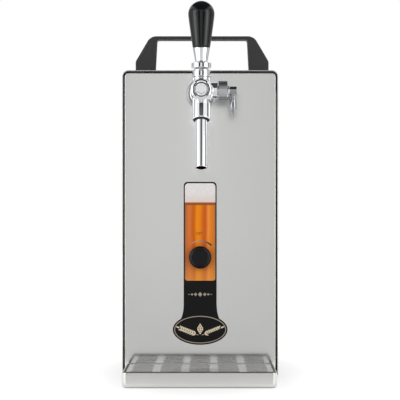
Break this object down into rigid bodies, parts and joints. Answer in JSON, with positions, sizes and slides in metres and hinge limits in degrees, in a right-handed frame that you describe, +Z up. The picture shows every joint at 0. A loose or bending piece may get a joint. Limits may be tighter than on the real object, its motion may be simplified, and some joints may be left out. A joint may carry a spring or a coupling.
{
  "type": "draft beer dispenser",
  "caption": "Countertop beer cooler: stainless box with a carry handle, a compensator tap, a thermostat knob and a drip tray in front.",
  "frame": {"origin": "middle of the footprint, on the counter", "axes": "+Z up, the tap and the tray face -Y, +X to the right as the user sees it"},
  "size_m": [0.173, 0.3352, 0.4117],
  "materials": {
    "polished_steel": "polished",
    "zinc_steel": "satin",
    "chrome": "polished",
    "black_plastic": "fine grain",
    "gloss_black": "gloss",
    "grey_plastic": "satin",
    "label_print": "printed film",
    "rubber": "matte",
    "cast_aluminium": "cast",
    "foam_insulation": "foam",
    "copper": "drawn tube",
    "black_enamel": "enamel",
    "beer_hose": "smooth"
  },
  "bodies": {
    "cooler": {"casing_wrap": "polished_steel", "front_panel": "polished_steel", "rear_panel": "zinc_steel", "base_plate": "zinc_steel", "foot_front_left": "rubber", "foot_front_right": "rubber", "foot_rear_left": "rubber", "foot_rear_right": "rubber", "carry_handle": "black_plastic", "handle_screw_left": "zinc_steel", "handle_screw_right": "zinc_steel", "tap_rosette": "chrome", "tap_shank": "chrome", "shank_nut": "zinc_steel", "tap_coupling_nut": "chrome", "tap_body": "chrome", "tap_front_cap": "chrome", "spout_tube": "polished_steel", "lever_collar_nut": "chrome", "compensator_sleeve": "chrome", "compensator_ring": "chrome", "label_plate": "label_print", "thermostat_body": "grey_plastic", "beer_inlet_fitting": "grey_plastic", "air_outlet_fitting": "grey_plastic", "cable_gland": "black_plastic", "pump_switch_frame": "black_plastic", "inner_shelf": "zinc_steel", "block_insulation": "foam_insulation", "insulation_lid": "foam_insulation", "cooling_block": "cast_aluminium", "beer_out_tube": "beer_hose", "beer_in_tube": "beer_hose", "compressor": "black_enamel", "terminal_box": "black_plastic", "condenser": "cast_aluminium", "filter_drier": "copper", "suction_pipe": "copper", "discharge_pipe": "copper", "capillary_tube": "copper", "fan_frame": "black_plastic", "air_pump": "grey_plastic", "air_hose": "beer_hose"},
    "lever": {"lever_stem": "chrome", "lever_skirt": "chrome", "lever_ferrule": "chrome", "lever_knob": "gloss_black"},
    "plunger": {"valve_plunger": "polished_steel"},
    "compensator": {"compensator_spindle": "polished_steel", "compensator_lever": "chrome", "compensator_screw": "polished_steel"},
    "dial": {"thermostat_spindle": "zinc_steel", "thermostat_knob": "gloss_black"},
    "tray": {"drip_tray": "polished_steel"},
    "grate": {"drip_grate": "polished_steel"},
    "inlet_collet": {"beer_inlet_collet": "black_plastic"},
    "outlet_collet": {"air_outlet_collet": "black_plastic"},
    "rocker": {"pump_switch_rocker": "gloss_black"},
    "rotor": {"fan_rotor": "black_plastic"}
  },
  "joints": [
    {"name": "tap_lever", "type": "hinge", "parent": "cooler", "child": "lever", "pos_m": [0.0016, -0.10715, 0.332], "axis": [1, 0, 0], "range_deg": [0, 25]},
    {"name": "valve_slide", "type": "slide", "parent": "cooler", "child": "plunger", "axis": [0, 1, 0], "range_m": [0, 0.00535]},
    {"name": "compensator_turn", "type": "hinge", "parent": "cooler", "child": "compensator", "pos_m": [0.0016, -0.10715, 0.3145], "axis": [1, 0, 0], "range_deg": [-90, 90]},
    {"name": "thermostat_turn", "type": "hinge", "parent": "cooler", "child": "dial", "pos_m": [0, -0.06715, 0.1336], "axis": [0, 1, 0], "range_deg": [0, 270]},
    {"name": "tray_pull", "type": "slide", "parent": "cooler", "child": "tray", "axis": [0, -1, 0], "range_m": [0, 0.12]},
    {"name": "grate_lift", "type": "slide", "parent": "tray", "child": "grate", "axis": [0, 0, 1], "range_m": [0, 0.06]},
    {"name": "inlet_release", "type": "slide", "parent": "cooler", "child": "inlet_collet", "axis": [0, -1, 0], "range_m": [0, 0.0012]},
    {"name": "outlet_release", "type": "slide", "parent": "cooler", "child": "outlet_collet", "axis": [0, -1, 0], "range_m": [0, 0.0012]},
    {"name": "pump_switch", "type": "hinge", "parent": "cooler", "child": "rocker", "pos_m": [0.0555, 0.14285, 0.19], "axis": [1, 0, 0], "range_deg": [0, 16]},
    {"name": "fan_turn", "type": "hinge", "parent": "cooler", "child": "rotor", "pos_m": [0, 0.12815, 0.068], "axis": [0, 1, 0], "continuous": true}
  ],
  "couplings": [
    {"joint": "valve_slide", "follows": "tap_lever", "m_per_rad": 0.012107}
  ]
}
